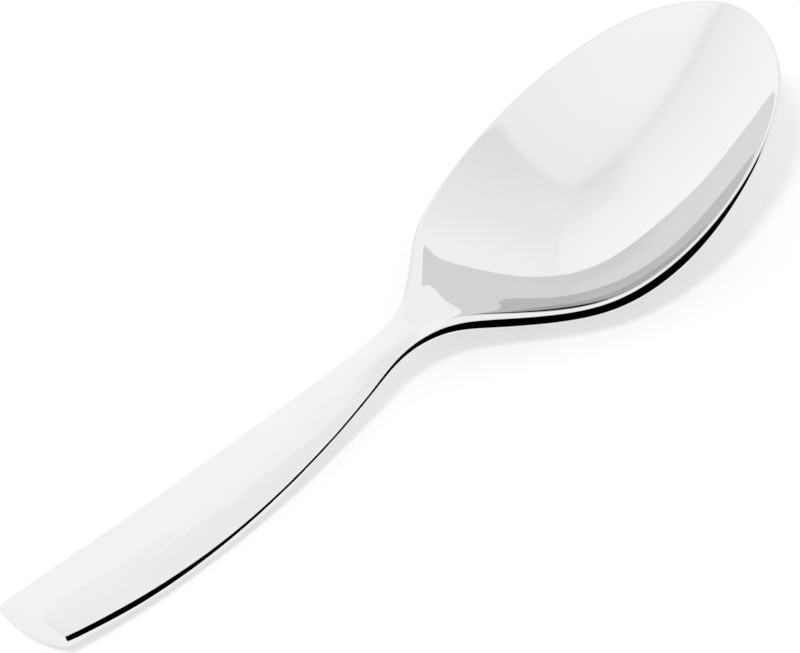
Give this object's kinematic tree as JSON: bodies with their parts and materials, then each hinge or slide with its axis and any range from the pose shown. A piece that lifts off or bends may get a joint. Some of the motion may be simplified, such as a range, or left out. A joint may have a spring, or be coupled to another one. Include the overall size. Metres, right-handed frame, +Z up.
{
  "type": "serving spoon",
  "caption": "Serving spoon with a long oval bowl that rises to its tip, a slim neck and a broad, softly crowned handle with a flat cut tail end.",
  "frame": {"origin": "on the table under the middle of the spoon's overall length, on its plane of symmetry", "axes": "+X runs from the tail of the handle to the tip of the bowl, +Z up from the table out of the open side of the bowl, +Y to the left seen from the tail"},
  "size_m": [0.251, 0.0682, 0.0408],
  "materials": {
    "polished_steel": "mirror-polished stainless steel, solid and not plated"
  },
  "bodies": {
    "root": {"bowl": "polished_steel", "neck": "polished_steel", "handle": "polished_steel"}
  },
  "joints": []
}
